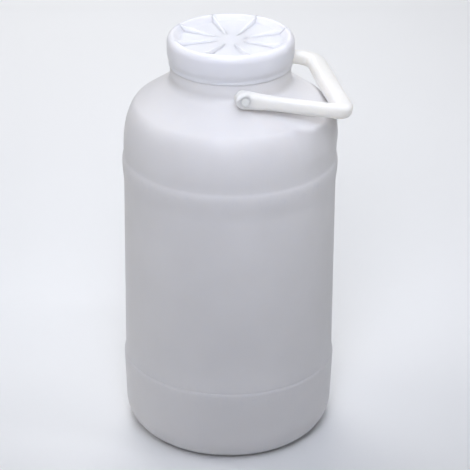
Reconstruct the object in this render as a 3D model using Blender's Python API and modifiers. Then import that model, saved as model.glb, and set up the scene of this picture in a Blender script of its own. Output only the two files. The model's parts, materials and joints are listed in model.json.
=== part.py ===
"""Wide-mouth plastic drum with a ribbed screw cap and a bail handle that folds down on its shoulder.

Metres, +Z up. The origin is the centre of the flat base. The handle's pins lie along Y,
and the folded handle points along +X.
"""

import math

import bmesh
import bpy
from mathutils import Matrix

# Body
BASE_FLAT_RADIUS = 0.0785
BASE_CORNER_HEIGHT = 0.0306
FOOT_RADIUS = 0.1026
LOWER_EDGE_RADIUS = 0.1043
LOWER_EDGE_HEIGHT = 0.0758
PANEL_BOTTOM = 0.0800
PANEL_TOP = 0.2615
PANEL_RADIUS_BOTTOM = 0.1029
PANEL_RADIUS_TOP = 0.1025
HOOP_HEIGHT = 0.2835
HOOP_TOP = 0.2911
HOOP_RADIUS = 0.1041
WALL_RADIUS = 0.1027
SHOULDER_START = 0.2999
SHOULDER_ROUNDING = 0.0224
CONE_START_RADIUS = 0.0898
CONE_START_HEIGHT = 0.3448
CONE_SLOPE = math.radians(34.6)
NECK_RADIUS = 0.0577
NECK_FILLET = 0.0061
NECK_TOP = 0.3819
FINISH_RADIUS = 0.0555
FINISH_TOP = 0.4031
DRUM_STEPS = 80

# Sloping shelf moulded in the shoulder, which the handle folds down over
SHELF_AT = 0.0592
SHELF_HEIGHT = 0.3403
SHELF_SLOPE = math.radians(16.7)
SHELF_HALF_WIDTH = 0.0728
SHELF_FLARE = 0.0240
SHELF_DEPTH = 0.0360
SHELF_ROUNDING = 0.0042
CHANNEL_START = 0.0145
CHANNEL_INNER = 0.0571
CHANNEL_ROUNDING = 0.0030

# Pins and handle
PIN_HEIGHT = 0.3727
PIN_RADIUS = 0.0041
PIN_HOLE_RADIUS = 0.0045
ARM_OFFSET = 0.06875
ARM_WIDTH = 0.0114
EYE_RADIUS = 0.0088
EYE_FAIRING = 0.0230
GRIP_DISTANCE = 0.0980
GRIP_WIDTH = 0.0178
GRIP_SWELL = 0.0012
GRIP_OUTER_CORNER = 0.0130
GRIP_INNER_CORNER = 0.0075
HANDLE_THICKNESS = 0.0139
HANDLE_ROUNDING = 0.0050
FOLDED_DROOP = math.radians(12.2)

# Cap
CAP_BOTTOM = 0.3826
CAP_TOP = 0.4118
CAP_BEAD_RADIUS = 0.0591
CAP_WAIST_RADIUS = 0.0585
CAP_RADIUS = 0.0607
CAP_RIM_ROUNDING = 0.0052
CAP_RIM_INNER_RADIUS = 0.0533
CAP_DISH_RADIUS = 0.0510
CAP_DISH_DEPTH = 0.0052
CAP_BORE_RADIUS = 0.0558
CAP_CEILING = 0.4034
CAP_STEPS = 64
CAP_RIB_COUNT = 8
CAP_RIB_THICKNESS = 0.0034
CAP_RIB_START = 0.0235
CAP_RIB_END = 0.0562
CAP_RIB_RISE = 0.0006
CAP_RIB_TURN = math.radians(7.9)


def clear_scene():
    for item in list(bpy.data.objects):
        bpy.data.objects.remove(item, do_unlink=True)


def new_collection(name):
    collection = bpy.data.collections.new(name)
    bpy.context.scene.collection.children.link(collection)
    return collection


def plastic(name, colour, roughness):
    material = bpy.data.materials.new(name)
    material.use_nodes = True
    shader = material.node_tree.nodes["Principled BSDF"]
    shader.inputs["Base Color"].default_value = (*colour, 1.0)
    shader.inputs["Roughness"].default_value = roughness
    shader.inputs["Metallic"].default_value = 0.0
    return material


def link_mesh(name, mesh, collection, material=None):
    item = bpy.data.objects.new(name, mesh)
    collection.objects.link(item)
    if material is not None:
        mesh.materials.append(material)
    return item


def add_cutter(name, mesh, collection):
    item = link_mesh(name, mesh, collection)
    item.hide_render = True
    item.display_type = "WIRE"
    return item


def add_boolean(item, tool, operation):
    modifier = item.modifiers.new(tool.name, "BOOLEAN")
    modifier.operation = operation
    modifier.solver = "EXACT"
    modifier.object = tool


def add_rounding(item, width, segments, limit):
    rounding = item.modifiers.new("round", "BEVEL")
    rounding.width = width
    rounding.segments = segments
    rounding.limit_method = "ANGLE"
    rounding.angle_limit = math.radians(limit)


def arc(centre, width, height, start, end, steps):
    """Points of an elliptical arc in the profile's plane, angles in degrees from the +X direction."""
    points = []
    for i in range(steps + 1):
        angle = math.radians(start + (end - start) * i / steps)
        points.append((centre[0] + width * math.cos(angle), centre[1] + height * math.sin(angle)))
    return points


def cubic(p0, p1, p2, p3, steps):
    points = []
    for i in range(steps + 1):
        t = i / steps
        s = 1.0 - t
        weights = (s ** 3, 3 * s * s * t, 3 * s * t * t, t ** 3)
        points.append(tuple(sum(w * p[k] for w, p in zip(weights, (p0, p1, p2, p3))) for k in range(2)))
    return points


def turned(name, profile, collection, material, steps):
    """A solid turned about Z from a profile that starts and ends on the axis."""
    mesh = bpy.data.meshes.new(name)
    mesh.from_pydata([(r, 0.0, z) for r, z in profile], [(i, i + 1) for i in range(len(profile) - 1)], [])
    item = link_mesh(name, mesh, collection, material)
    screw = item.modifiers.new("turn", "SCREW")
    screw.steps = steps
    screw.render_steps = steps
    screw.use_merge_vertices = True
    screw.merge_threshold = 0.00005
    screw.use_smooth_shade = True
    return item


def drum_profile():
    """Outer line of the drum, from the centre of its mouth down to the centre of its base."""
    points = [(0.0, FINISH_TOP)]
    points += arc((FINISH_RADIUS - 0.001, FINISH_TOP - 0.001), 0.001, 0.001, 90, 0, 2)
    points += [(FINISH_RADIUS, NECK_TOP), (NECK_RADIUS - 0.0006, NECK_TOP), (NECK_RADIUS, NECK_TOP - 0.0006)]
    rise = math.tan(CONE_SLOPE)
    corner_height = CONE_START_HEIGHT + rise * (CONE_START_RADIUS - NECK_RADIUS)
    reach = NECK_FILLET * math.tan((math.pi / 2 - CONE_SLOPE) / 2)
    fillet_height = corner_height + reach
    turn = 90.0 - math.degrees(CONE_SLOPE)
    points += arc((NECK_RADIUS + NECK_FILLET, fillet_height), NECK_FILLET, NECK_FILLET, 180, 180 + turn, 4)
    cone_pull = 0.0088
    shoulder = cubic(
        (CONE_START_RADIUS, CONE_START_HEIGHT),
        (CONE_START_RADIUS + cone_pull * math.cos(CONE_SLOPE), CONE_START_HEIGHT - cone_pull * math.sin(CONE_SLOPE)),
        (WALL_RADIUS, SHOULDER_START + SHOULDER_ROUNDING),
        (WALL_RADIUS, SHOULDER_START),
        9,
    )
    points += shoulder
    crease = (WALL_RADIUS + 0.0002, HOOP_TOP)
    points += [crease]
    hoop_rise = HOOP_RADIUS - crease[0]
    points += arc((crease[0], HOOP_HEIGHT), hoop_rise, HOOP_TOP - HOOP_HEIGHT - 0.0008, 60, 0, 3)
    hoop_fall = HOOP_RADIUS - PANEL_RADIUS_TOP
    for i in range(1, 6):
        t = i / 5
        ease = 0.5 + 0.5 * math.cos(math.pi * t)
        points.append((PANEL_RADIUS_TOP + hoop_fall * ease, HOOP_HEIGHT + (PANEL_TOP - HOOP_HEIGHT) * t))
    points += [(PANEL_RADIUS_BOTTOM, PANEL_BOTTOM + 0.0006)]
    points += [(PANEL_RADIUS_BOTTOM + 0.0003, PANEL_BOTTOM)]
    edge = 0.0016
    points += arc((LOWER_EDGE_RADIUS - edge, LOWER_EDGE_HEIGHT), edge, PANEL_BOTTOM - LOWER_EDGE_HEIGHT, 70, 0, 3)
    points += arc(
        (BASE_FLAT_RADIUS, BASE_CORNER_HEIGHT),
        FOOT_RADIUS - BASE_FLAT_RADIUS,
        BASE_CORNER_HEIGHT,
        0,
        -90,
        8,
    )
    points += [(0.0, 0.0)]
    return points


def cap_profile():
    """Section of the cap: dish, rim, skirt, then back up the bore to the axis."""
    floor = CAP_TOP - CAP_DISH_DEPTH
    points = [(0.0, floor), (CAP_DISH_RADIUS - 0.0012, floor), (CAP_DISH_RADIUS, floor + 0.0010)]
    points += [(CAP_RIM_INNER_RADIUS - 0.0008, CAP_TOP - 0.0009), (CAP_RIM_INNER_RADIUS, CAP_TOP - 0.0002)]
    round_width = CAP_RADIUS - CAP_RIM_INNER_RADIUS - 0.0018
    points += arc((CAP_RADIUS - round_width, CAP_TOP - CAP_RIM_ROUNDING), round_width, CAP_RIM_ROUNDING, 90, 0, 5)
    points += [(CAP_RADIUS - 0.0001, CAP_BOTTOM + 0.0130), (CAP_RADIUS - 0.0006, CAP_BOTTOM + 0.0085)]
    points += [(CAP_WAIST_RADIUS + 0.0004, CAP_BOTTOM + 0.0050), (CAP_WAIST_RADIUS, CAP_BOTTOM + 0.0034)]
    points += [(CAP_BEAD_RADIUS - 0.0002, CAP_BOTTOM + 0.0026), (CAP_BEAD_RADIUS, CAP_BOTTOM + 0.0015)]
    points += [(CAP_BEAD_RADIUS - 0.0003, CAP_BOTTOM + 0.0004), (CAP_BEAD_RADIUS - 0.0010, CAP_BOTTOM)]
    points += [(CAP_BORE_RADIUS, CAP_BOTTOM), (CAP_BORE_RADIUS, CAP_CEILING), (0.0, CAP_CEILING)]
    return points


def rod_mesh(name, radius, length, segments, bevel=0.0):
    """A cylinder along Y, centred on the origin."""
    bm = bmesh.new()
    bmesh.ops.create_cone(
        bm, cap_ends=True, segments=segments, radius1=radius, radius2=radius, depth=length,
        matrix=Matrix.Rotation(math.pi / 2, 4, "X"),
    )
    if bevel:
        rims = [e for e in bm.edges if any(len(f.verts) > 4 for f in e.link_faces)]
        bmesh.ops.bevel(bm, geom=rims, offset=bevel, segments=2, profile=0.5, affect="EDGES")
    mesh = bpy.data.meshes.new(name)
    bm.to_mesh(mesh)
    bm.free()
    return mesh


def block_mesh(name, length, width, low, high, flare=0.0, bevel=0.0):
    """A block along X from its origin, whose sides spread by the flare towards its underside."""
    bm = bmesh.new()
    bmesh.ops.create_cube(bm, size=1.0)
    for vert in bm.verts:
        top = vert.co.z > 0
        spread = width + (0.0 if top else 2 * flare)
        vert.co = ((vert.co.x + 0.5) * length, vert.co.y * spread, high if top else low)
    if bevel:
        bmesh.ops.bevel(bm, geom=bm.edges[:], offset=bevel, segments=3, profile=0.5, affect="EDGES")
    mesh = bpy.data.meshes.new(name)
    bm.to_mesh(mesh)
    bm.free()
    return mesh


def shelf_frame(x, y, lift=0.0):
    """Placing of a block so that its floor lies on the shelf's sloping plane, starting at x."""
    turn = Matrix.Rotation(SHELF_SLOPE, 4, "Y")
    height = SHELF_HEIGHT - (x - SHELF_AT) * math.tan(SHELF_SLOPE)
    return Matrix.Translation((x, y, height + lift)) @ turn


def add_shelf(drum, collection):
    """Fill out the round shoulder under the shelf to the drum's wall, then cut the arms' channels."""
    bm = bmesh.new()
    bmesh.ops.create_cone(
        bm, cap_ends=True, segments=DRUM_STEPS, radius1=WALL_RADIUS - 0.0020, radius2=WALL_RADIUS + 0.0008,
        depth=0.100, matrix=Matrix.Translation((0.0, 0.0, SHOULDER_START + 0.025)),
    )
    mesh = bpy.data.meshes.new("shelf")
    bm.to_mesh(mesh)
    bm.free()
    shelf = add_cutter("shelf", mesh, collection)
    wedge_mesh = block_mesh("shelf_wedge", 0.120, 2 * SHELF_HALF_WIDTH, -SHELF_DEPTH, 0.0, SHELF_FLARE)
    wedge = add_cutter("shelf_wedge", wedge_mesh, collection)
    wedge.matrix_world = shelf_frame(0.045, 0.0, -0.0004)
    add_boolean(shelf, wedge, "INTERSECT")
    add_rounding(shelf, SHELF_ROUNDING, 3, 35)
    add_boolean(drum, shelf, "UNION")
    width = SHELF_HALF_WIDTH - CHANNEL_INNER
    mesh = block_mesh("channel", 0.110, width, 0.0, 0.050, 0.0, CHANNEL_ROUNDING)
    for side, name in ((-1, "channel_near"), (1, "channel_far")):
        channel = add_cutter(name, mesh, collection)
        channel.matrix_world = shelf_frame(CHANNEL_START, side * (CHANNEL_INNER + width / 2))
        add_boolean(drum, channel, "DIFFERENCE")


def add_drum(collection, cutters, material):
    drum = turned("drum", drum_profile(), collection, material, DRUM_STEPS)
    pins = add_cutter("pins", rod_mesh("pins", PIN_RADIUS, 2 * (ARM_OFFSET + ARM_WIDTH / 2), 32, 0.0006), cutters)
    pins.location = (0.0, 0.0, PIN_HEIGHT)
    add_boolean(drum, pins, "UNION")
    add_shelf(drum, cutters)
    return drum


def add_cap(collection, cutters, material):
    cap = turned("cap", cap_profile(), collection, material, CAP_STEPS)
    floor = CAP_TOP - CAP_DISH_DEPTH
    sunk = 0.0012
    bm = bmesh.new()
    for i in range(CAP_RIB_COUNT):
        rib = bmesh.ops.create_cube(bm, size=1.0)["verts"]
        for vert in rib:
            outer = vert.co.x > 0
            top = vert.co.z > 0
            x = CAP_RIB_END if outer else CAP_RIB_START
            z = floor - sunk
            if top:
                z = CAP_TOP + CAP_RIB_RISE if outer else floor + 0.0006
            vert.co = (x, vert.co.y * CAP_RIB_THICKNESS, z)
        turn = Matrix.Rotation(CAP_RIB_TURN + i * math.tau / CAP_RIB_COUNT, 4, "Z")
        bmesh.ops.transform(bm, matrix=turn, verts=rib)
    mesh = bpy.data.meshes.new("cap_ribs")
    bm.to_mesh(mesh)
    bm.free()
    ribs = add_cutter("cap_ribs", mesh, cutters)
    add_boolean(cap, ribs, "UNION")
    return cap


def bail_outline():
    """Plan of the handle: u away from the pins, v along them, as one closed line."""
    outer_v = ARM_OFFSET + ARM_WIDTH / 2
    inner_v = ARM_OFFSET - ARM_WIDTH / 2
    outer_u = GRIP_DISTANCE + GRIP_WIDTH / 2
    inner_u = GRIP_DISTANCE - GRIP_WIDTH / 2
    root_u = -0.004
    ro = GRIP_OUTER_CORNER
    ri = GRIP_INNER_CORNER
    points = [(root_u, outer_v)]
    points += arc((outer_u - ro, outer_v - ro), ro, ro, 90, 0, 7)
    points += arc((outer_u - ro, ro - outer_v), ro, ro, 0, -90, 7)
    points += [(root_u, -outer_v), (root_u, -inner_v)]
    points += arc((inner_u - ri, ri - inner_v), ri, ri, -90, 0, 4)
    span = inner_v - ri
    for i in range(1, 8):
        v = span * (i / 4 - 1)
        points.append((inner_u - GRIP_SWELL * (1 - (v / span) ** 2), v))
    points += arc((inner_u - ri, inner_v - ri), ri, ri, 0, 90, 4)
    points += [(root_u, inner_v)]
    return points


def outline_mesh(name, outline, thickness, collection):
    """A closed outline in the XY plane, filled and given its thickness along Z."""
    curve = bpy.data.curves.new(name, "CURVE")
    curve.dimensions = "2D"
    curve.fill_mode = "BOTH"
    curve.extrude = thickness / 2
    spline = curve.splines.new("POLY")
    spline.points.add(len(outline) - 1)
    for point, (x, y) in zip(spline.points, outline):
        point.co = (x, y, 0.0, 1.0)
    spline.use_cyclic_u = True
    flat = bpy.data.objects.new(name, curve)
    collection.objects.link(flat)
    bpy.context.view_layer.update()
    mesh = bpy.data.meshes.new_from_object(flat.evaluated_get(bpy.context.evaluated_depsgraph_get()))
    mesh.name = name
    bpy.data.objects.remove(flat, do_unlink=True)
    bm = bmesh.new()
    bm.from_mesh(mesh)
    bmesh.ops.remove_doubles(bm, verts=bm.verts, dist=0.00001)
    bmesh.ops.dissolve_limit(bm, angle_limit=math.radians(0.5), verts=bm.verts, edges=bm.edges)
    bmesh.ops.recalc_face_normals(bm, faces=bm.faces)
    bm.to_mesh(mesh)
    bm.free()
    return mesh


def eye_outline():
    """Side view of an arm's end: the eye's circle drawn out to the arm's thickness."""
    half = HANDLE_THICKNESS / 2 - 0.0002
    lean = math.degrees(math.acos((EYE_RADIUS - half) / EYE_FAIRING))
    points = [(EYE_FAIRING, -half), (EYE_FAIRING, half)]
    points += arc((0.0, 0.0), EYE_RADIUS, EYE_RADIUS, lean, 360 - lean, 28)
    return points


def add_handle(collection, cutters, material):
    handle = link_mesh("handle", outline_mesh("handle", bail_outline(), HANDLE_THICKNESS, collection), collection, material)
    add_rounding(handle, HANDLE_ROUNDING, 4, 60)
    eye_mesh = outline_mesh("eye", eye_outline(), ARM_WIDTH - 0.0004, cutters)
    for side, name in ((-1, "eye_near"), (1, "eye_far")):
        eye = add_cutter(name, eye_mesh, cutters)
        eye.location = (0.0, side * ARM_OFFSET, 0.0)
        eye.rotation_euler = (math.pi / 2, 0.0, 0.0)
        eye.parent = handle
        add_rounding(eye, 0.0030, 3, 60)
        add_boolean(handle, eye, "UNION")
    hole = add_cutter("pin_hole", rod_mesh("pin_hole", PIN_HOLE_RADIUS, 3 * ARM_OFFSET, 32), cutters)
    hole.parent = handle
    add_boolean(handle, hole, "DIFFERENCE")
    handle.location = (0.0, 0.0, PIN_HEIGHT)
    handle.rotation_euler = (0.0, FOLDED_DROOP, 0.0)
    return handle


def main():
    clear_scene()
    parts = new_collection("plastic_drum")
    cutters = new_collection("cutters")
    add_drum(parts, cutters, plastic("natural_polyethylene", (0.78, 0.78, 0.82), 0.42))
    add_cap(parts, cutters, plastic("cap_polyethylene", (0.86, 0.88, 0.93), 0.38))
    add_handle(parts, cutters, plastic("handle_polyethylene", (0.86, 0.85, 0.82), 0.40))


main()
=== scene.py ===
"""Wide-mouth polyethylene drum with a ribbed screw cap and a bail handle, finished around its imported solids.

The frame's solids give the places and sizes. Each piece here is a smooth mesh that stands for one of them.
"""

import json
import math

import bmesh
import bpy
import numpy as np
from mathutils import Matrix, Vector


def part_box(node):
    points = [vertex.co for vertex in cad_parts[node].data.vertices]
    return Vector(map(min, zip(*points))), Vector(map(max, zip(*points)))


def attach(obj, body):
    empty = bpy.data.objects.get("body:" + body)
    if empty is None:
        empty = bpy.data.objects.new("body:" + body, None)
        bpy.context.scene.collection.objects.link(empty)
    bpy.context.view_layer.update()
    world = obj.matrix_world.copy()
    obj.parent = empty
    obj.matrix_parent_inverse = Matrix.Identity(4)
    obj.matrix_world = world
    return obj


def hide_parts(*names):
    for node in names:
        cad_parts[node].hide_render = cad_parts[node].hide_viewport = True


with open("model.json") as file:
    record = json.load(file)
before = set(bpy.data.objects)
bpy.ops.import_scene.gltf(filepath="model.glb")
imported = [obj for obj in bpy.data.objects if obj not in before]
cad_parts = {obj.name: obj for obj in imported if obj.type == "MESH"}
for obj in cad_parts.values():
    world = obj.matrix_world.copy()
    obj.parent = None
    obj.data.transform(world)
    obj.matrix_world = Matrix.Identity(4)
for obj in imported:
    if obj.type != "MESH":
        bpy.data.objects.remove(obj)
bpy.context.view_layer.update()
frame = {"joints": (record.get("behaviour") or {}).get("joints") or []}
CAP_LOW, CAP_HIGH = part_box("cap")
DRUM_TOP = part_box("drum")[1].z
PIN_PLACE = frame["joints"][0]["pos_m"]

bl_info = {
    "name": "Wide-mouth plastic drum",
    "version": (1, 0, 0),
    "blender": (4, 5, 0),
    "location": "View3D > Sidebar > Drum",
    "description": "Builds a blown polyethylene drum with its screw cap, bail handle and a plain studio",
    "category": "Add Mesh",
}

MM = 0.001
PHOTO_WIDTH = 470  # pixels
SENSOR_WIDTH = 36.0  # millimetres

# Sizes that the plastics' patterns have on a real drum, in millimetres
DRIFT_MM = 55  # patches where the wall is a little thicker or thinner
LINE_MM = 4  # spacing of die lines and flow lines
SPECK_MM = 7  # size of the scuffs
RELIEF_MM = 0.12  # depth of the peel and the lines

# How far the search for the moulded shoulder goes out and in, in metres, and in how many steps
SEARCH_OUT, SEARCH_IN, SEARCH_STEPS, HALVINGS = 0.024, -0.016, 81, 14
# Rows over which the moulded shoulder runs out into the wall below it and the neck above it
EASE_BELOW, EASE_ABOVE = 14, 5

# Half of a rib's section, from its crest out: shares of the half thickness, of the fillet and of the height
RIB_SECTION = (
    (0.35, 0.0, 1.0), (0.75, 0.0, 0.93), (1.0, 0.0, 0.72),
    (1.0, 0.2, 0.28), (1.0, 0.55, 0.05), (1.0, 1.0, 0.0),
)

# Name, place, aim, width, power in watts, spread in degrees and colour of each light
LIGHTS = (
    ("key_softbox", (-0.25, -0.95, 1.05), (0.0, 0.0, 0.40), 0.5, 0.79, 48.0, "F1F4FF"),
    ("high_softbox", (-0.10, -0.80, 1.55), (0.0, -0.05, 0.42), 0.6, 0.30, 50.0, "E2ECFF"),
    ("left_softbox", (-1.0, 0.3, 0.85), (0.0, 0.0, 0.38), 0.6, 0.41, 70.0, "FFFDF8"),
    ("right_softbox", (0.9, 0.1, 0.85), (0.0, 0.0, 0.40), 0.4, 0.06, 24.0, "FFFDF8"),
    ("shelf_softbox", (0.50, -0.42, 1.25), (0.10, -0.07, 0.37), 0.20, 0.036, 20.0, "F6F8FF"),
    ("overhead_softbox", (0.0, 0.0, 3.4), (0.0, 0.0, 0.0), 4.0, 38.0, 180.0, "EEF3FF"),
    ("back_softbox", (0.0, 1.6, 2.0), (0.0, 1.0, 0.0), 1.6, 9.5, 100.0, "FFFFFF"),
)


def linear(hex_colour):
    """An sRGB hex colour, such as "F2F2F5", as linear red, green and blue."""
    values = [int(hex_colour[i:i + 2], 16) / 255 for i in (0, 2, 4)]
    return tuple(v / 12.92 if v <= 0.04045 else ((v + 0.055) / 1.055) ** 2.4 for v in values)


def length(name, description, default):
    """A property for a length in metres."""
    return bpy.props.FloatProperty(
        name=name, description=description, default=default, unit="LENGTH", precision=5
    )


def angle(name, description, degrees):
    """A property for an angle, given in degrees."""
    return bpy.props.FloatProperty(
        name=name, description=description, default=math.radians(degrees), unit="ROTATION"
    )


def number(name, description, default):
    """A property for a plain number."""
    return bpy.props.FloatProperty(name=name, description=description, default=default, precision=3)


def colour(name, description, hex_colour):
    """A property for a colour, given in sRGB hex."""
    return bpy.props.FloatVectorProperty(
        name=name, description=description, default=linear(hex_colour), subtype="COLOR",
        size=3, min=0.0, max=1.0,
    )


class BodySizes(bpy.types.PropertyGroup):
    """Outer line of the drum, and the seat and shelf moulded in its shoulder for the folded handle."""

    base_flat_radius: length("Base flat", "Radius of the flat that the drum stands on", 0.0785)
    base_corner_height: length("Base corner", "Height of the round corner above the floor", 0.0306)
    foot_radius: length("Foot radius", "Radius just above the round corner", 0.1026)
    lower_edge_radius: length("Lower edge radius", "Radius of the bead below the panel", 0.1043)
    lower_edge_height: length("Lower edge height", "Height of that bead", 0.0758)
    panel_bottom: length("Panel bottom", "Height where the sunk panel starts", 0.0800)
    panel_top: length("Panel top", "Height where the panel starts to swell into the hoop", 0.2615)
    panel_radius_bottom: length("Panel radius, bottom", "Radius of the panel at its bottom", 0.1029)
    panel_radius_top: length("Panel radius, top", "Radius of the panel at its top", 0.1025)
    hoop_height: length("Hoop height", "Height of the hoop's crest", 0.2835)
    hoop_top: length("Hoop top", "Height of the crease above the hoop", 0.2911)
    hoop_radius: length("Hoop radius", "Radius of the hoop's crest", 0.1041)
    wall_radius: length("Wall radius", "Radius between the hoop and the shoulder", 0.1027)
    shoulder_start: length("Shoulder start", "Height where the shoulder starts to round", 0.2999)
    shoulder_rounding: length("Shoulder rounding", "How far the wall's line reaches up into it", 0.0224)
    cone_start_radius: length("Cone radius", "Radius where the shoulder turns into a cone", 0.0898)
    cone_start_height: length("Cone height", "Height of that place", 0.3448)
    cone_slope: angle("Cone slope", "Slope of the cone", 34.6)
    neck_radius: length("Neck radius", "Radius of the neck below the cap", 0.0577)
    neck_fillet: length("Neck fillet", "Radius of the hollow corner round the neck", 0.0090)
    neck_top: length("Neck top", "Height of the neck's upper edge, under the cap", 0.3824)
    finish_radius: length("Finish radius", "Radius of the mouth inside the cap", 0.0555)
    seat_height: length("Seat height", "Height of the seat under the arms, carried on to the axis", 0.3618)
    seat_slope: angle("Seat slope", "Slope of that seat, which follows the folded arms", 11.9)
    seat_crown: angle("Seat crown", "How far the seat's outer part falls to the side", 20.0)
    crown_start: length("Crown start", "Distance from the middle where it starts to fall", 0.0690)
    shelf_at: length("Shelf place", "Distance from the axis where the outer part has its height", 0.0580)
    shelf_height: length("Shelf height", "Height of the shelf's outer part at that place", 0.3505)
    shelf_slope: angle("Shelf slope", "Slope of the shelf's outer part", 25.0)
    shelf_start: length("Shelf start", "Distance from the axis where the shelf grows out of the dome", 0.0160)
    shelf_half_width: length("Shelf half width", "Half the width of the shelf", 0.0835)
    shelf_taper: number("Shelf taper", "How much the half width grows for each unit outwards", 0.36)
    shelf_growth: length("Shelf growth", "The most that the half width grows", 0.0025)
    shelf_flare: number("Shelf flare", "How far the shelf's side spreads for each unit of depth", 0.12)
    shelf_inset: length("Shelf inset", "How far the shelf's front stays inside the wall", 0.0006)
    shelf_corner: length("Shelf corner", "Size of the rounding down the shelf's outer corner", 0.0115)
    channel_start: length("Channel start", "Distance from the axis where an arm's channel starts", 0.0080)
    channel_inner: length("Channel inner side", "Distance of its inner side from the middle", 0.0600)
    soft_edge: length("Soft edge", "Size of the moulded rounding round the shelf and channels", 0.0060)
    pin_radius: length("Pin radius", "Radius of the pins that the handle swings on", 0.00435)
    pin_reach: length("Pin reach", "Distance of the pin's end from the middle", 0.0742)
    rounds: bpy.props.IntProperty(name="Columns", description="Faces round the drum", default=480, min=24)


class CapSizes(bpy.types.PropertyGroup):
    """Section of the cap and the ribs on its top."""

    radius: length("Radius", "Largest radius of the cap", 0.0607)
    bead_radius: length("Bead radius", "Radius of the bead round its lower edge", 0.0590)
    waist_radius: length("Waist radius", "Radius of the groove above the bead", 0.0587)
    rim_rounding: length("Rim rounding", "Height of the round edge at the top", 0.0078)
    rim_inner_radius: length("Rim inner radius", "Radius where the rim falls into the dish", 0.0536)
    dish_radius: length("Dish radius", "Radius of the dish's floor", 0.0486)
    dish_depth: length("Dish depth", "Depth of the dish below the rim", 0.0052)
    bore_radius: length("Bore radius", "Inside radius of the cap", 0.0558)
    ceiling: length("Ceiling", "Height of the cap's inner face above the floor", 0.4034)
    rib_count: bpy.props.IntProperty(name="Ribs", description="Number of ribs on the top", default=8, min=2)
    rib_thickness: length("Rib thickness", "Thickness of a rib at its crest", 0.0024)
    rib_fillet: length("Rib fillet", "Width of the hollow corner along a rib", 0.0026)
    rib_start: length("Rib start", "Distance from the axis where a rib rises out of the dish", 0.0110)
    rib_end: length("Rib end", "Distance from the axis where a rib ends on the rim", 0.0562)
    rib_rise: length("Rib rise", "How far a rib stands above the rim", 0.0006)
    rib_turn: angle("Rib turn", "How far the cap is screwed round", 7.9)
    rounds: bpy.props.IntProperty(name="Columns", description="Faces round the cap", default=256, min=24)


class HandleSizes(bpy.types.PropertyGroup):
    """The bail handle, lying folded on the shelf."""

    arm_offset: length("Arm offset", "Distance of an arm's middle line from the middle", 0.06875)
    arm_width: length("Arm width", "Width of an arm along the pins", 0.0114)
    eye_radius: length("Eye radius", "Radius of the round end that turns on the pin", 0.0088)
    eye_fairing: length("Eye fairing", "Distance over which the eye runs out into the arm", 0.0230)
    hole_radius: length("Hole radius", "Radius of the hole for the pin", 0.00445)
    grip_distance: length("Grip distance", "Distance of the grip's middle line from the pins", 0.0993)
    grip_width: length("Grip width", "Width of the grip", 0.0178)
    grip_swell: length("Grip swell", "How far the grip's inner side bows towards the pins", 0.0012)
    outer_corner: length("Outer corner", "Radius of the handle's outer corners", 0.0190)
    inner_corner: length("Inner corner", "Radius of the handle's inner corners", 0.0065)
    thickness: length("Thickness", "Thickness of the handle", 0.0139)
    rounding: length("Rounding", "Radius of its long edges", 0.0050)
    droop: angle("Droop", "How far the folded handle hangs below level", 11.3)


class Finish(bpy.types.PropertyGroup):
    """Colours of the plastics."""

    drum_light: colour("Drum, thin wall", "Natural polyethylene where the wall is thin", "DFDDDD")
    drum_dark: colour("Drum, thick wall", "Natural polyethylene where the wall is thick", "DCDADA")
    cap_light: colour("Cap, light", "Moulded cap", "E9E8EB")
    cap_dark: colour("Cap, dark", "Moulded cap, away from its gate", "E5E4E7")
    handle_light: colour("Handle, light", "Moulded handle", "F0EDE8")
    handle_dark: colour("Handle, dark", "Moulded handle, in its flow lines", "ECE9E2")
    # The pins' two colours are painted lighter and warmer than the drum's plastic: painted light that lifts
    # the shade where the pins sit in the eyes' holes
    pin_painted_light_pale: colour("Pin, light", "Solid pin", "F4F2EC")
    pin_painted_light_deep: colour("Pin, dark", "Solid pin, in its flow lines", "EFEDE6")
    scuff: colour("Scuff", "Worn and dusty plastic", "CFCFD6")


class StageSizes(bpy.types.PropertyGroup):
    """Floor, lights and camera."""

    camera_distance: length("Camera distance", "Level distance of the camera from the drum's axis", 2.0850)
    camera_height: length("Camera height", "Height of the camera above the floor", 1.2100)
    camera_azimuth: angle("Camera azimuth", "How far the camera stands round towards -X", 10.8)
    camera_pitch: angle("Camera pitch", "How far the camera looks down", 25.82)
    camera_yaw: angle("Camera yaw", "How far the camera looks off the axis", 0.15)
    camera_roll: angle("Camera roll", "How far the camera leans", 0.45)
    focal_pixels: bpy.props.FloatProperty(
        name="Focal length", description="Focal length in pixels of a picture 470 wide", default=2357.0
    )
    floor_colour: colour("Floor", "Pale matte floor", "F4F4F4")
    floor_reach: length("Floor reach", "How far the floor goes to each side", 6.0)
    sky_colour: colour("Sky", "Even light from all round", "F2F4FA")
    sky_strength: number("Sky strength", "How strong that light is", 0.14)


class DrumSettings(bpy.types.PropertyGroup):
    """All that a user may change."""

    body: bpy.props.PointerProperty(type=BodySizes, name="Body", description="Sizes of the drum")
    cap: bpy.props.PointerProperty(type=CapSizes, name="Cap", description="Sizes of the cap")
    handle: bpy.props.PointerProperty(type=HandleSizes, name="Handle", description="Sizes of the handle")
    finish: bpy.props.PointerProperty(type=Finish, name="Finish", description="Colours")
    stage: bpy.props.PointerProperty(type=StageSizes, name="Stage", description="Floor, lights and camera")


# Node trees


def add_node(tree, kind, values=None, links=None, **settings):
    """Add a node with its settings, the values of its inputs and the sockets that feed them."""
    node = tree.nodes.new(kind)
    for key, value in settings.items():
        setattr(node, key, value)
    for key, value in (values or {}).items():
        node.inputs[key].default_value = value
    for key, socket in (links or {}).items():
        tree.links.new(socket, node.inputs[key])
    return node


def set_stops(ramp, stops):
    """Give a Color Ramp its stops, as (place, grey or colour)."""
    elements = ramp.color_ramp.elements
    while len(elements) < len(stops):
        elements.new(0.5)
    for element, (place, value) in zip(elements, stops):
        element.position = place
        element.color = (*value, 1.0) if isinstance(value, (tuple, list)) else (value, value, value, 1.0)


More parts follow.
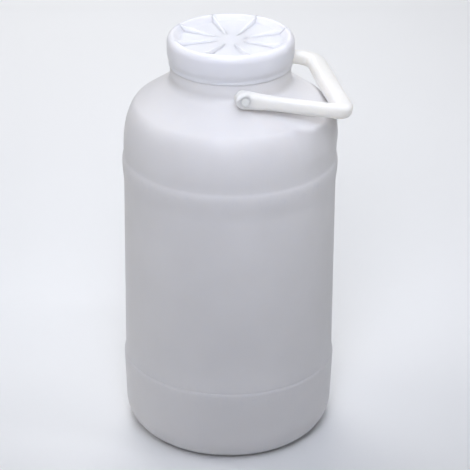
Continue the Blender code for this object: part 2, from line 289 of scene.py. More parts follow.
def polyethylene(name, light, dark, scuff, roughness, peel_mm, flow, scatter_mm, wear_share, bands=()):
    """Satin polyethylene, milky because light goes a few millimetres into it.

    Its colour drifts a little with the wall's thickness, flow lines run along the way it was drawn or filled,
    and a fine peel breaks up the gloss. Scuffs lie in bands at the heights that touch other things.
    """
    material = bpy.data.materials.new(name)
    material.use_nodes = True
    tree = material.node_tree
    shader = tree.nodes["Principled BSDF"]
    place = add_node(tree, "ShaderNodeTexCoord").outputs["Object"]

    drift = add_node(
        tree, "ShaderNodeTexNoise", {"Scale": 1 / (DRIFT_MM * MM), "Detail": 2.0, "Roughness": 0.5},
        {"Vector": place},
    )
    drift_ramp = add_node(tree, "ShaderNodeValToRGB", links={"Fac": drift.outputs["Fac"]})
    set_stops(drift_ramp, [(0.34, tuple(dark)), (0.66, tuple(light))])

    drawn = add_node(tree, "ShaderNodeMapping", {"Scale": flow}, {"Vector": place})
    lines = add_node(
        tree, "ShaderNodeTexNoise", {"Scale": 1 / (LINE_MM * MM), "Detail": 3.0, "Roughness": 0.6},
        {"Vector": drawn.outputs["Vector"]},
    )
    peel = add_node(
        tree, "ShaderNodeTexNoise", {"Scale": 1 / (peel_mm * MM), "Detail": 2.0, "Roughness": 0.5},
        {"Vector": place},
    )

    specks = add_node(
        tree, "ShaderNodeTexNoise",
        {"Scale": 1 / (SPECK_MM * MM), "Detail": 6.0, "Roughness": 0.72, "Distortion": 0.6},
        {"Vector": place},
    )
    worn = add_node(tree, "ShaderNodeValToRGB", links={"Fac": specks.outputs["Fac"]})
    set_stops(worn, [(0.50, 0.0), (0.72, 1.0)])
    wear = worn.outputs["Color"]
    if bands:
        height = add_node(tree, "ShaderNodeSeparateXYZ", links={"Vector": place}).outputs["Z"]
        mask = None
        for middle, reach in bands:
            away = add_node(tree, "ShaderNodeMath", {1: middle}, {0: height}, operation="SUBTRACT")
            far = add_node(tree, "ShaderNodeMath", links={0: away.outputs[0]}, operation="ABSOLUTE")
            near = add_node(
                tree, "ShaderNodeMapRange",
                {"From Min": reach, "From Max": 0.0, "To Min": 0.0, "To Max": 1.0},
                {"Value": far.outputs[0]}, interpolation_type="SMOOTHSTEP",
            ).outputs["Result"]
            if mask is None:
                mask = near
            else:
                both = add_node(tree, "ShaderNodeMath", links={0: mask, 1: near}, operation="MAXIMUM")
                mask = both.outputs[0]
        wear = add_node(tree, "ShaderNodeMath", links={0: wear, 1: mask}, operation="MULTIPLY").outputs[0]
    worn_by = add_node(tree, "ShaderNodeMath", {1: wear_share}, {0: wear}, operation="MULTIPLY").outputs[0]

    body_colour = add_node(
        tree, "ShaderNodeMix", {"B": (*scuff, 1.0)}, {"Factor": worn_by, "A": drift_ramp.outputs["Color"]},
        data_type="RGBA",
    )
    tree.links.new(body_colour.outputs["Result"], shader.inputs["Base Color"])

    gloss = add_node(
        tree, "ShaderNodeMapRange",
        {"From Min": 0.3, "From Max": 0.7, "To Min": roughness - 0.05, "To Max": roughness + 0.06},
        {"Value": lines.outputs["Fac"]},
    )
    dulled = add_node(
        tree, "ShaderNodeMath", {1: 0.25}, {0: worn_by, 2: gloss.outputs["Result"]}, operation="MULTIPLY_ADD"
    )
    tree.links.new(dulled.outputs[0], shader.inputs["Roughness"])

    relief = add_node(
        tree, "ShaderNodeMath", {1: 0.6}, {0: peel.outputs["Fac"], 2: lines.outputs["Fac"]},
        operation="MULTIPLY_ADD",
    )
    bump = add_node(
        tree, "ShaderNodeBump", {"Strength": 0.35, "Distance": RELIEF_MM * MM}, {"Height": relief.outputs[0]}
    )
    tree.links.new(bump.outputs["Normal"], shader.inputs["Normal"])

    shader.inputs["IOR"].default_value = 1.51
    shader.inputs["Subsurface Weight"].default_value = 0.9
    shader.inputs["Subsurface Radius"].default_value = (1.0, 0.96, 0.90)
    shader.inputs["Subsurface Scale"].default_value = scatter_mm * MM
    return material


# Meshes


def finished(name, mesh, material, body, slot, *nodes):
    """Link a mesh, already in its place, as a piece that rides on a body and stands for CAD nodes."""
    piece = bpy.data.objects.new(name, mesh)
    bpy.context.scene.collection.objects.link(piece)
    if material is not None:
        mesh.materials.clear()
        mesh.materials.append(material)
    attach(piece, body)
    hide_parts(*nodes)
    return piece


def arc(centre, width, height, start, end, steps):
    """Points of an elliptical arc, angles in degrees from the +X direction."""
    angles = [math.radians(start + (end - start) * i / steps) for i in range(steps + 1)]
    return [(centre[0] + width * math.cos(a), centre[1] + height * math.sin(a)) for a in angles]


def straight(start, end, steps):
    """Points of a straight line, without its first one."""
    return [
        (start[0] + (end[0] - start[0]) * i / steps, start[1] + (end[1] - start[1]) * i / steps)
        for i in range(1, steps + 1)
    ]


def cubic(p0, p1, p2, p3, steps):
    """Points of a Bezier curve, with both of its ends."""
    points = []
    for i in range(steps + 1):
        t = i / steps
        weights = ((1 - t) ** 3, 3 * (1 - t) ** 2 * t, 3 * (1 - t) * t * t, t ** 3)
        points.append(tuple(sum(w * p[k] for w, p in zip(weights, (p0, p1, p2, p3))) for k in range(2)))
    return points


def lathe(name, rings):
    """A closed mesh from rings of points, bottom to top, with a point on the axis below and above."""
    rows, columns = rings.shape[0], rings.shape[1]
    points = rings.reshape(-1, 3).tolist()
    low = len(points)
    points += [[0.0, 0.0, float(rings[0, :, 2].mean())], [0.0, 0.0, float(rings[-1, :, 2].mean())]]
    faces = []
    for j in range(columns):
        k = (j + 1) % columns
        faces += [
            (i * columns + j, i * columns + k, (i + 1) * columns + k, (i + 1) * columns + j)
            for i in range(rows - 1)
        ]
        faces.append((low, k, j))
        faces.append((low + 1, (rows - 1) * columns + j, (rows - 1) * columns + k))
    mesh = bpy.data.meshes.new(name)
    mesh.from_pydata(points, [], faces)
    bm = bmesh.new()
    bm.from_mesh(mesh)
    bmesh.ops.recalc_face_normals(bm, faces=bm.faces)
    bm.to_mesh(mesh)
    bm.free()
    mesh.shade_smooth()
    return mesh


def turned_rings(line, rounds):
    """Rings of points from a line of (radius, height) turned round the axis."""
    turn = np.arange(rounds) * math.tau / rounds
    ring = np.stack([np.cos(turn), np.sin(turn), np.zeros_like(turn)], axis=1)
    return line[:, :1, None] * ring[None] + np.array([0.0, 0.0, 1.0]) * line[:, 1:, None]


def body_line(s):
    """Outer line of the drum, from its base up to its mouth, and the span of rows that the shelf may move."""
    line = [(s.base_flat_radius * 0.5, 0.0)]
    corner_width = s.foot_radius - s.base_flat_radius
    line += arc((s.base_flat_radius, s.base_corner_height), corner_width, s.base_corner_height, -90, 0, 24)
    # The bead's round top edge, with a shallow groove where it meets the panel
    edge, groove, groove_rise = 0.0016, 0.0003, 0.0008
    edge_height = s.panel_bottom - s.lower_edge_height
    line += straight(line[-1], (s.lower_edge_radius, s.lower_edge_height), 4)
    line += arc((s.lower_edge_radius - edge, s.lower_edge_height), edge, edge_height, 0, 75, 6)[1:]
    line.append((s.panel_radius_bottom + groove, s.panel_bottom))
    line.append((s.panel_radius_bottom, s.panel_bottom + groove_rise))
    line += straight(line[-1], (s.panel_radius_top, s.panel_top), 5)
    # The panel swells slowly into the hoop, which rolls over sharply into the crease above it
    hoop_fall = s.hoop_radius - s.panel_radius_top
    hoop_steps = 16
    for i in range(1, hoop_steps + 1):
        ease = 0.5 - 0.5 * math.cos(math.pi * i / hoop_steps)
        height = s.panel_top + (s.hoop_height - s.panel_top) * i / hoop_steps
        line.append((s.panel_radius_top + hoop_fall * ease, height))
    crease_radius, crease_low, crease_high = s.wall_radius + 0.0002, 0.0008, 0.0014
    roll = s.hoop_top - s.hoop_height - crease_low
    line += arc((crease_radius, s.hoop_height), s.hoop_radius - crease_radius, roll, 0, 65, 7)[1:]
    line += [(crease_radius, s.hoop_top), (s.wall_radius, s.hoop_top + crease_high)]
    line += straight(line[-1], (s.wall_radius, s.shoulder_start), 2)[:-1]
    first = len(line)
    pull = 0.0088  # how far the cone's line reaches back into the round shoulder
    run, rise = math.cos(s.cone_slope), math.sin(s.cone_slope)
    line += cubic(
        (s.wall_radius, s.shoulder_start),
        (s.wall_radius, s.shoulder_start + s.shoulder_rounding),
        (s.cone_start_radius + pull * run, s.cone_start_height - pull * rise),
        (s.cone_start_radius, s.cone_start_height),
        62,
    )
    corner_height = s.cone_start_height + math.tan(s.cone_slope) * (s.cone_start_radius - s.neck_radius)
    turn = 90.0 - math.degrees(s.cone_slope)
    fillet_height = corner_height + s.neck_fillet * math.tan(math.radians(turn) / 2)
    fillet_centre = (s.neck_radius + s.neck_fillet, fillet_height)
    fillet = arc(fillet_centre, s.neck_fillet, s.neck_fillet, 180 + turn, 180, 8)
    line += straight(line[-1], fillet[0], 26)
    last = len(line) - 1
    line += fillet[1:]
    lip = 0.0006
    line += [(s.neck_radius, s.neck_top - lip), (s.neck_radius - lip, s.neck_top)]
    line.append((s.finish_radius, s.neck_top))
    mouth = 0.0010
    line += [(s.finish_radius, DRUM_TOP - mouth)]
    line += arc((s.finish_radius - mouth, DRUM_TOP - mouth), mouth, mouth, 0, 90, 4)[1:]
    line.append((s.finish_radius * 0.5, DRUM_TOP))
    return np.array(line), first, last


def smooth_max(a, b, size):
    """The larger of two distances, rounded where they meet."""
    share = np.clip(0.5 + 0.5 * (a - b) / size, 0.0, 1.0)
    return b + (a - b) * share + size * share * (1.0 - share)


def smooth_min(a, b, size):
    """The smaller of two distances, rounded where they meet."""
    return -smooth_max(-a, -b, size)


def shoulder_distance(s, x, y, z, out):
    """Distance from the moulded shoulder, negative inside: the dome, plus the shelf, less the arms' channels.

    The shelf's top follows the folded arms as far as its crowned outer part, where it falls more steeply.
    """
    crown = math.tan(s.seat_crown) * np.maximum(0.0, np.abs(y) - s.crown_start)
    under_arm = (z - s.seat_height + x * math.tan(s.seat_slope) + crown) * math.cos(s.seat_slope)
    outer = (z - s.shelf_height + (x - s.shelf_at) * math.tan(s.shelf_slope)) * math.cos(s.shelf_slope)
    above = smooth_max(under_arm, outer, s.soft_edge)
    half_width = s.shelf_half_width + np.minimum(s.shelf_growth, s.shelf_taper * (x - s.shelf_at))
    aside = np.abs(y) - half_width - s.shelf_flare * np.maximum(0.0, -above)
    aside *= math.cos(math.atan(s.shelf_flare))
    beyond = np.hypot(x, y) - (s.wall_radius - s.shelf_inset)
    side = smooth_max(aside, beyond, s.shelf_corner)
    shelf = smooth_max(above, side, s.soft_edge)
    shelf = smooth_max(shelf, s.shelf_start - x, 2.0 * s.soft_edge)
    moulded = smooth_min(out, shelf, s.soft_edge)
    channel = smooth_max(-under_arm, s.channel_inner - np.abs(y), 0.5 * s.soft_edge)
    channel = smooth_max(channel, s.channel_start - x, s.soft_edge)
    return smooth_max(moulded, -channel, 0.5 * s.soft_edge)


def mould_shoulder(s, rings, line, first, last):
    """Move the shoulder's rows along their normals on to the moulded shoulder."""
    slope = np.gradient(line, axis=0)[first:last + 1]
    normal = np.stack([slope[:, 1], -slope[:, 0]], axis=1)
    normal /= np.linalg.norm(normal, axis=1)[:, None]
    columns = rings.shape[1]
    turn = np.arange(columns) * math.tau / columns
    radius, height = line[first:last + 1, :1], line[first:last + 1, 1:]

    def at(out):
        """Places at a distance out from the plain line, and how far they lie from the moulded shoulder."""
        r = radius + out * normal[:, :1]
        x, y, z = r * np.cos(turn), r * np.sin(turn), height + out * normal[:, 1:]
        return x, y, z, shoulder_distance(s, x, y, z, out)

    steps = np.linspace(SEARCH_OUT, SEARCH_IN, SEARCH_STEPS)
    outside = np.full((len(radius), columns), steps[0])
    inside = np.full_like(outside, steps[-1])
    open_yet = np.ones_like(outside, dtype=bool)
    for far, near in zip(steps[:-1], steps[1:]):
        crossed = open_yet & (at(np.full_like(outside, near))[3] <= 0.0)
        outside[crossed], inside[crossed] = far, near
        open_yet &= ~crossed
    for _ in range(HALVINGS):
        middle = 0.5 * (outside + inside)
        within = at(middle)[3] <= 0.0
        inside = np.where(within, middle, inside)
        outside = np.where(within, outside, middle)
    moved = 0.5 * (outside + inside)
    rows = np.arange(len(radius))
    ease = np.clip(rows / EASE_BELOW, 0.0, 1.0) * np.clip((len(rows) - 1 - rows) / EASE_ABOVE, 0.0, 1.0)
    moved *= (ease * ease * (3 - 2 * ease))[:, None]
    x, y, z, _ = at(moved)
    rings[first:last + 1] = np.stack([x, y, z], axis=2)


def body_mesh(s):
    """The drum, turned from its outer line and then moulded at the shoulder."""
    line, first, last = body_line(s)
    rings = turned_rings(line, s.rounds)
    mould_shoulder(s, rings, line, first, last)
    return lathe("drum_body", rings)


def pins_mesh(s):
    """Two round pins along Y, flared where they grow out of the neck and rounded at their ends."""
    # The pin starts at its root inside the neck, and its flare is sunk a little into the neck's wall
    flare, tip, root, sunk, rounds = 0.0030, 0.0007, 0.0500, 0.0008, 48
    line = [(s.pin_radius + flare, root), (s.pin_radius + flare, s.neck_radius - sunk)]
    line += arc((s.pin_radius + flare, s.neck_radius - sunk + flare), flare, flare, 270, 180, 8)[1:]
    line += arc((s.pin_radius - tip, s.pin_reach - tip), tip, tip, 0, 90, 6)
    mesh = lathe("handle_pins", turned_rings(np.array(line), rounds))
    bm = bmesh.new()
    for side in (-1, 1):
        bm.from_mesh(mesh)
        fresh = bm.verts[-len(mesh.vertices):]
        matrix = Matrix.Translation(PIN_PLACE) @ Matrix.Rotation(-side * math.pi / 2, 4, "X")
        bmesh.ops.transform(bm, matrix=matrix, verts=fresh)
    bm.to_mesh(mesh)
    bm.free()
    mesh.shade_smooth()
    return mesh


def cap_height(s):
    """Height of the cap without its ribs' rise above the rim."""
    return CAP_HIGH.z - s.rib_rise - CAP_LOW.z


def cap_mesh(s):
    """The cap, turned from its section: ceiling, bore, bead, groove, skirt and rim, then down to the dish."""
    low, high = CAP_LOW.z, CAP_LOW.z + cap_height(s)
    floor = high - s.dish_depth
    corner, chamfer = 0.0012, 0.0003
    line = [(s.dish_radius * 0.5, s.ceiling), (s.bore_radius - corner, s.ceiling)]
    line += arc((s.bore_radius - corner, s.ceiling - corner), corner, corner, 90, 0, 4)[1:]
    line += [(s.bore_radius, low + chamfer), (s.bore_radius + chamfer, low)]

    # The bead ends in a groove, and the skirt swells out above it
    bead_width, bead_middle, bead_top, groove, groove_top = 0.0011, 0.0013, 0.0027, 0.0034, 0.0036
    line += arc((s.bead_radius - bead_width, low + bead_middle), bead_width, bead_middle, -90, 40, 8)
    line += [(s.waist_radius + 0.0001, low + bead_top), (s.waist_radius, low + groove)]
    line += cubic(
        (s.waist_radius, low + groove_top), (s.waist_radius, low + 0.0058),
        (s.radius - 0.0004, low + 0.0068), (s.radius - 0.0001, low + 0.0130), 12,
    )

    # The rim rolls over to a narrow flat top, and the dish's wall runs out softly at both ends
    rim_flat, wall_foot, foot_rise = 0.0018, 0.0006, 0.0012
    width = s.radius - s.rim_inner_radius - rim_flat
    line += arc((s.radius - width, high - s.rim_rounding), width, s.rim_rounding, 0, 90, 16)
    foot = (s.dish_radius + wall_foot, floor + foot_rise)
    line += cubic(
        (s.rim_inner_radius + 0.0008, high), (s.rim_inner_radius - 0.0006, high - 0.0002),
        (s.rim_inner_radius - 0.0004, high - 0.0016), foot, 8,
    )[1:]
    line += cubic(
        foot, (s.dish_radius + 0.0002, floor + 0.0004),
        (s.dish_radius - 0.0004, floor), (s.dish_radius - 0.0016, floor), 6,
    )[1:]
    line += [(s.dish_radius * 0.6, floor), (s.dish_radius * 0.3, floor - 0.0001)]
    return lathe("cap_shell", turned_rings(np.array(line), s.rounds))


def rib_mesh(s):
    """One rib along +X: a rounded crest with hollow corners, from the rim down to the dish's floor."""
    high = CAP_LOW.z + cap_height(s)
    floor = high - s.dish_depth
    half = s.rib_thickness / 2
    side = [(a * half + b * s.rib_fillet, rise) for a, b, rise in RIB_SECTION]
    section = [(-across, rise) for across, rise in reversed(side)] + side
    stations = np.linspace(0.0, 1.0, 25)
    sunk, root, end_share = 0.0002, 0.0010, 0.93
    tops, lows = [], []
    for t in stations:
        x = s.rib_start + (s.rib_end - s.rib_start) * t
        crest = (high + s.rib_rise - floor) * (end_share if t == 1.0 else t)
        # A rib starts below the dish's floor, so it grows out of it without a step
        ground = floor - sunk * (2.5 - 1.5 * min(4.0 * t, 1.0))
        tops.append([(x, across, ground + (crest + sunk) * rise) for across, rise in section])
        lows.append([(x, across, floor - root) for across, _ in section])
    bm = bmesh.new()
    top = [[bm.verts.new(p) for p in row] for row in tops]
    low = [[bm.verts.new(p) for p in row] for row in lows]
    n = len(section)
    for i in range(len(stations) - 1):
        for j in range(n - 1):
            bm.faces.new((top[i][j], top[i + 1][j], top[i + 1][j + 1], top[i][j + 1]))
            bm.faces.new((low[i][j], low[i][j + 1], low[i + 1][j + 1], low[i + 1][j]))
        bm.faces.new((top[i][0], low[i][0], low[i + 1][0], top[i + 1][0]))
        bm.faces.new((top[i][n - 1], top[i + 1][n - 1], low[i + 1][n - 1], low[i][n - 1]))
    for i in (0, len(stations) - 1):
        for j in range(n - 1):
            bm.faces.new((top[i][j], top[i][j + 1], low[i][j + 1], low[i][j]))
    bmesh.ops.recalc_face_normals(bm, faces=bm.faces)
    mesh = bpy.data.meshes.new("cap_rib")
    bm.to_mesh(mesh)
    bm.free()
    mesh.shade_smooth()
    return mesh


def ribs_tree(material):
    """A tree that repeats its geometry round Z a number of times, and gives it its material."""
    tree = bpy.data.node_groups.new("ribs_round_cap", "GeometryNodeTree")
    tree.interface.new_socket("Geometry", in_out="INPUT", socket_type="NodeSocketGeometry")
    tree.interface.new_socket("Ribs", in_out="INPUT", socket_type="NodeSocketInt")
    tree.interface.new_socket("Turn", in_out="INPUT", socket_type="NodeSocketFloat")
    tree.interface.new_socket("Geometry", in_out="OUTPUT", socket_type="NodeSocketGeometry")
    given = add_node(tree, "NodeGroupInput")
    points = add_node(tree, "GeometryNodePoints", links={"Count": given.outputs["Ribs"]})
    step = add_node(tree, "ShaderNodeMath", {0: math.tau}, {1: given.outputs["Ribs"]}, operation="DIVIDE")
    index = add_node(tree, "GeometryNodeInputIndex")
    turned = add_node(
        tree, "ShaderNodeMath",
        links={0: index.outputs[0], 1: step.outputs[0], 2: given.outputs["Turn"]}, operation="MULTIPLY_ADD",
    )
    rotation = add_node(tree, "ShaderNodeCombineXYZ", links={"Z": turned.outputs[0]})
    placed = add_node(
        tree, "GeometryNodeInstanceOnPoints",
        links={
            "Points": points.outputs[0], "Instance": given.outputs["Geometry"],
            "Rotation": rotation.outputs[0],
        },
    )
    real = add_node(tree, "GeometryNodeRealizeInstances", links={"Geometry": placed.outputs["Instances"]})
    painted = add_node(
        tree, "GeometryNodeSetMaterial", {"Material": material}, {"Geometry": real.outputs["Geometry"]}
    )
    add_node(tree, "NodeGroupOutput", links={"Geometry": painted.outputs["Geometry"]})
    return tree


def made_by_nodes(name, start, tree, inputs):
    """Run a tree on a mesh with its named inputs, and return the plain mesh that comes out."""
    holder = bpy.data.objects.new(name, start)
    bpy.context.scene.collection.objects.link(holder)
    modifier = holder.modifiers.new("made", "NODES")
    modifier.node_group = tree
    for item in tree.interface.items_tree:
        if item.in_out == "INPUT" and item.name in inputs:
            modifier[item.identifier] = inputs[item.name]
    graph = bpy.context.evaluated_depsgraph_get()
    mesh = bpy.data.meshes.new_from_object(holder.evaluated_get(graph))
    bpy.data.objects.remove(holder, do_unlink=True)
    mesh.name = name
    return mesh


def handle_stations(s):
    """Inner and outer points of the handle's plan, one pair for each cross-section, from eye to eye."""
    outer_v = s.arm_offset + s.arm_width / 2
    inner_v = s.arm_offset - s.arm_width / 2
    outer_u = s.grip_distance + s.grip_width / 2
    inner_u = s.grip_distance - s.grip_width / 2
    ro, ri = s.outer_corner, s.inner_corner
    # Sections stand close together round the eye's end, and evenly along the arm
    ends = [-s.eye_radius * math.cos(math.radians(a)) for a in (1, 8, 16, 26, 38, 52, 68, 84)]
    arm_start, arm_sections, corner_steps, half_grip = 0.0014, 40, 12, 15
    arm = ends + list(np.linspace(arm_start, inner_u - ri, arm_sections))
    pairs = [((u, -inner_v), (u, -outer_v)) for u in arm]
    inner = arc((inner_u - ri, ri - inner_v), ri, ri, -90, 0, corner_steps)
    outer = arc((outer_u - ro, ro - outer_v), ro, ro, -90, 0, corner_steps)
    pairs += list(zip(inner, outer))
    span = inner_v - ri
    for i in range(1, 2 * half_grip):
        along = i / half_grip - 1
        v = span * along
        swell = s.grip_swell * (1 - (v / span) ** 2)
        pairs.append(((inner_u - swell, v), (outer_u, (outer_v - ro) * along)))
    pairs += [((a[0], -a[1]), (b[0], -b[1])) for a, b in reversed(list(zip(inner, outer)))]
    pairs += [((u, inner_v), (u, outer_v)) for u in reversed(arm)]
    return pairs


def eye_half_height(s, u):
    """Half the height of an arm at a distance from the pin's axis: the eye's circle, then its tangent."""
    half = s.thickness / 2
    lean = math.acos((s.eye_radius - half) / s.eye_fairing)
    touch = s.eye_radius * math.cos(lean)
    if u <= touch:
        return math.sqrt(max(s.eye_radius ** 2 - u * u, 0.0))
    if u < s.eye_fairing:
        start = s.eye_radius * math.sin(lean)
        return start + (half - start) * (u - touch) / (s.eye_fairing - touch)
    return half


def handle_mesh(s):
    """The handle's rounded cross-section carried along its plan, lying level and not yet drilled."""
    merge_distance = 0.000005
    bm = bmesh.new()
    rows = []
    for inner, outer in handle_stations(s):
        middle = Vector(((inner[0] + outer[0]) / 2, (inner[1] + outer[1]) / 2, 0.0))
        half = (Vector((*outer, 0.0)) - Vector((*inner, 0.0))) / 2
        width = half.length
        side = half.normalized()
        tall = eye_half_height(s, inner[0]) if inner[0] < s.eye_fairing else s.thickness / 2
        corner = min(s.rounding, 0.9 * tall, 0.9 * width)  # the eye's thin end still keeps a flat
        section = []
        for cx, cz, start in ((1, 1, 0), (-1, 1, 90), (-1, -1, 180), (1, -1, 270)):
            centre = (cx * (width - corner), cz * (tall - corner))
            section += arc(centre, corner, corner, start, start + 90, 7)
        rows.append([bm.verts.new(middle + side * a + Vector((0.0, 0.0, b))) for a, b in section])
    count = len(rows[0])
    for a, b in zip(rows[:-1], rows[1:]):
        for i in range(count):
            k = (i + 1) % count
            bm.faces.new((a[i], a[k], b[k], b[i]))
    bm.faces.new(rows[0])
    bm.faces.new(list(reversed(rows[-1])))
    bmesh.ops.remove_doubles(bm, verts=bm.verts, dist=merge_distance)
    bmesh.ops.recalc_face_normals(bm, faces=bm.faces)
    mesh = bpy.data.meshes.new("handle_bail")
    bm.to_mesh(mesh)
    bm.free()
    return mesh


def drill_eyes(s, mesh):
    """Cut the pin's hole through both eyes, fold the handle down and keep its edges crisp."""
    piece = bpy.data.objects.new("handle_blank", mesh)
    drill_mesh = bpy.data.meshes.new("eye_drill")
    bm = bmesh.new()
    bmesh.ops.create_cone(
        bm, cap_ends=True, segments=64, radius1=s.hole_radius, radius2=s.hole_radius, depth=3 * s.arm_offset,
        matrix=Matrix.Rotation(math.pi / 2, 4, "X"),
    )
    bm.to_mesh(drill_mesh)
    bm.free()
    drill = bpy.data.objects.new("eye_drill", drill_mesh)
    for item in (piece, drill):
        bpy.context.scene.collection.objects.link(item)
    cut = piece.modifiers.new("hole", "BOOLEAN")
    cut.operation = "DIFFERENCE"
    cut.solver = "EXACT"
    cut.object = drill
    graph = bpy.context.evaluated_depsgraph_get()
    done = bpy.data.meshes.new_from_object(piece.evaluated_get(graph))
    for item in (piece, drill):
        bpy.data.objects.remove(item, do_unlink=True)
    done.name = "handle_bail"
    done.transform(Matrix.Translation(PIN_PLACE) @ Matrix.Rotation(s.droop, 4, "Y"))
    done.shade_smooth()
    done.set_sharp_from_angle(angle=math.radians(42))
    return done


# Stage


def area_light(name, place, aim, size, power, spread, hex_colour):
    """A round softbox that the camera doesn't see."""
    data = bpy.data.lights.new(name, "AREA")
    data.shape = "DISK"
    data.size = size
    data.energy = power
    data.spread = math.radians(spread)
    data.color = linear(hex_colour)
    light = bpy.data.objects.new(name, data)
    light.location = place
    light.visible_camera = False
    light.rotation_euler = (Vector(aim) - Vector(place)).to_track_quat("-Z", "Y").to_euler()
    bpy.context.scene.collection.objects.link(light)
    return light


def floor_material(base):
    """Matte painted board: pale, with a drift so slight that it only keeps the floor from looking empty."""
    material = bpy.data.materials.new("floor_matte_board")
    material.use_nodes = True
    tree = material.node_tree
    shader = tree.nodes["Principled BSDF"]
    place = add_node(tree, "ShaderNodeTexCoord").outputs["Object"]
    grain = add_node(tree, "ShaderNodeTexNoise", {"Scale": 1 / (300 * MM), "Detail": 2.0}, {"Vector": place})
    ramp = add_node(tree, "ShaderNodeValToRGB", links={"Fac": grain.outputs["Fac"]})
    set_stops(ramp, [(0.3, tuple(v * 0.99 for v in base)), (0.7, tuple(base))])
    tree.links.new(ramp.outputs["Color"], shader.inputs["Base Color"])
    shader.inputs["Roughness"].default_value = 0.9
    shader.inputs["Specular IOR Level"].default_value = 0.1
    return material


def add_floor(s):
    """The floor, kept apart from the part."""
    mesh = bpy.data.meshes.new("floor")
    bm = bmesh.new()
    bmesh.ops.create_grid(bm, x_segments=8, y_segments=8, size=s.floor_reach)
    bm.to_mesh(mesh)
    bm.free()
    mesh.materials.append(floor_material(s.floor_colour))
    floor = bpy.data.objects.new("floor", mesh)
    bpy.context.scene.collection.objects.link(floor)


def add_world(s):
    """Even light from all round, and plain colours in the picture."""
    world = bpy.data.worlds.new("studio")
    world.use_nodes = True
    background = world.node_tree.nodes["Background"]
    background.inputs["Color"].default_value = (*s.sky_colour, 1.0)
    background.inputs["Strength"].default_value = s.sky_strength
    bpy.context.scene.world = world
    bpy.context.scene.view_settings.view_transform = "Standard"


def add_camera(s):
    """The camera at the photograph's angle."""
    data = bpy.data.cameras.new("camera")
    data.sensor_width = SENSOR_WIDTH
    data.lens = s.focal_pixels / PHOTO_WIDTH * SENSOR_WIDTH
    data.clip_end = 50.0
    camera = bpy.data.objects.new("camera", data)
    turn = -s.camera_azimuth
    camera.location = (
        s.camera_distance * math.sin(turn), -s.camera_distance * math.cos(turn), s.camera_height
    )
    look = Matrix.Rotation(turn - s.camera_yaw, 4, "Z")
    look = look @ Matrix.Rotation(math.pi / 2 - s.camera_pitch, 4, "X")
    camera.rotation_euler = (look @ Matrix.Rotation(s.camera_roll, 4, "Z")).to_euler()
    bpy.context.scene.collection.objects.link(camera)
    bpy.context.scene.camera = camera


# Operators


class DRUM_OT_body(bpy.types.Operator):
    """Make the blown body with its moulded shoulder"""

    bl_idname = "drum.body"
    bl_label = "Body"

    def execute(self, context):
        settings = context.scene.drum_settings
        look = settings.finish
        s = settings.body
        # Scuffs gather at the bead, the hoop and the foot: the height of each band and how far it reaches
        bands = ((s.lower_edge_height, 0.020), (s.hoop_height, 0.016), (0.004, 0.014))
        # Extrusion-blown polyethylene: a waxy satin skin with upright die lines, and a glow in the thin wall
        material = polyethylene(
            "blown_natural_polyethylene", look.drum_light, look.drum_dark, look.scuff,
            roughness=0.46, peel_mm=2.2, flow=(1.0, 1.0, 0.05), scatter_mm=9.0, wear_share=0.30, bands=bands,
        )
        finished("drum_body", body_mesh(s), material, "container", "drum_polyethylene", "drum")
        # The pins are moulded with the drum, but their colour is painted lighter and warmer than the drum's:
        # painted light that lifts the shade on their ends in the eyes' holes
        painted_light_pin_material = polyethylene(
            "pin_polyethylene_painted_lighter", look.pin_painted_light_pale, look.pin_painted_light_deep, look.scuff,
            roughness=0.45, peel_mm=1.4, flow=(1.0, 1.0, 1.0), scatter_mm=5.0, wear_share=0.10,
        )
        finished("handle_pins", pins_mesh(s), painted_light_pin_material, "container", "drum_polyethylene", "drum")
        return {"FINISHED"}


class DRUM_OT_cap(bpy.types.Operator):
    """Make the screw cap and the ribs on its top"""

    bl_idname = "drum.cap"
    bl_label = "Cap"

    def execute(self, context):
        settings = context.scene.drum_settings
        look = settings.finish
        s = settings.cap
        # Injection-moulded polyethylene: a denser, cooler white than the body, and a smoother skin
        material = polyethylene(
            "moulded_cap_polyethylene", look.cap_light, look.cap_dark, look.scuff,
            roughness=0.40, peel_mm=1.6, flow=(0.4, 0.4, 1.0), scatter_mm=7.0, wear_share=0.25,
            bands=((CAP_HIGH.z, 0.006),),
        )
        finished("cap_shell", cap_mesh(s), material, "container", "cap_polyethylene", "cap")
        tree = ribs_tree(material)
        inputs = {"Ribs": s.rib_count, "Turn": s.rib_turn}
        ribs = made_by_nodes("cap_ribs", rib_mesh(s), tree, inputs)
        finished("cap_ribs", ribs, None, "container", "cap_polyethylene", "cap")
        return {"FINISHED"}


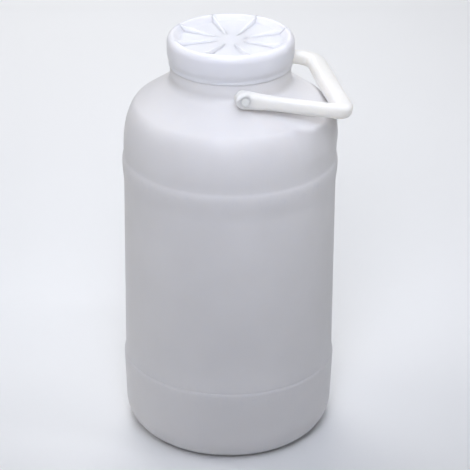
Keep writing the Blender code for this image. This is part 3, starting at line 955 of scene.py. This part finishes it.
class DRUM_OT_handle(bpy.types.Operator):
    """Make the bail handle, folded on its shelf"""

    bl_idname = "drum.handle"
    bl_label = "Handle"

    def execute(self, context):
        settings = context.scene.drum_settings
        look = settings.finish
        s = settings.handle
        # Injection-moulded polyethylene: warm white and solid, so light goes deeper than in the thin wall
        material = polyethylene(
            "moulded_handle_polyethylene", look.handle_light, look.handle_dark, look.scuff,
            roughness=0.42, peel_mm=1.4, flow=(0.15, 0.15, 1.0), scatter_mm=13.0, wear_share=0.10,
        )
        mesh = drill_eyes(s, handle_mesh(s))
        finished("handle_bail", mesh, material, "bail", "handle_polyethylene", "handle")
        return {"FINISHED"}


class DRUM_OT_stage(bpy.types.Operator):
    """Make the pale floor, the soft lights and the camera"""

    bl_idname = "drum.stage"
    bl_label = "Stage"

    def execute(self, context):
        s = context.scene.drum_settings.stage
        add_floor(s)
        add_world(s)
        for light in LIGHTS:
            area_light(*light)
        add_camera(s)
        return {"FINISHED"}


class DRUM_PT_sidebar(bpy.types.Panel):
    """Lists the steps and the values behind them"""

    bl_idname = "DRUM_PT_sidebar"
    bl_label = "Plastic drum"
    bl_space_type = "VIEW_3D"
    bl_region_type = "UI"
    bl_category = "Drum"

    def draw(self, context):
        settings = context.scene.drum_settings
        for step in STEPS:
            self.layout.operator(step.bl_idname)
        for group in (settings.body, settings.cap, settings.handle, settings.finish, settings.stage):
            box = self.layout.box()
            for name in group.__annotations__:
                box.prop(group, name)


STEPS = (DRUM_OT_body, DRUM_OT_cap, DRUM_OT_handle, DRUM_OT_stage)
GROUPS = (BodySizes, CapSizes, HandleSizes, Finish, StageSizes, DrumSettings)
CLASSES = (*GROUPS, *STEPS, DRUM_PT_sidebar)


def register():
    """Register the classes and the scene's settings."""
    for cls in CLASSES:
        bpy.utils.register_class(cls)
    bpy.types.Scene.drum_settings = bpy.props.PointerProperty(
        type=DrumSettings, name="Drum", description="Values of the plastic drum"
    )


def unregister():
    """Undo register."""
    del bpy.types.Scene.drum_settings
    for cls in reversed(CLASSES):
        bpy.utils.unregister_class(cls)


def main():
    """Build every piece and the stage."""
    register()
    bpy.ops.drum.body()
    bpy.ops.drum.cap()
    bpy.ops.drum.handle()
    bpy.ops.drum.stage()


if __name__ == "__main__":
    main()
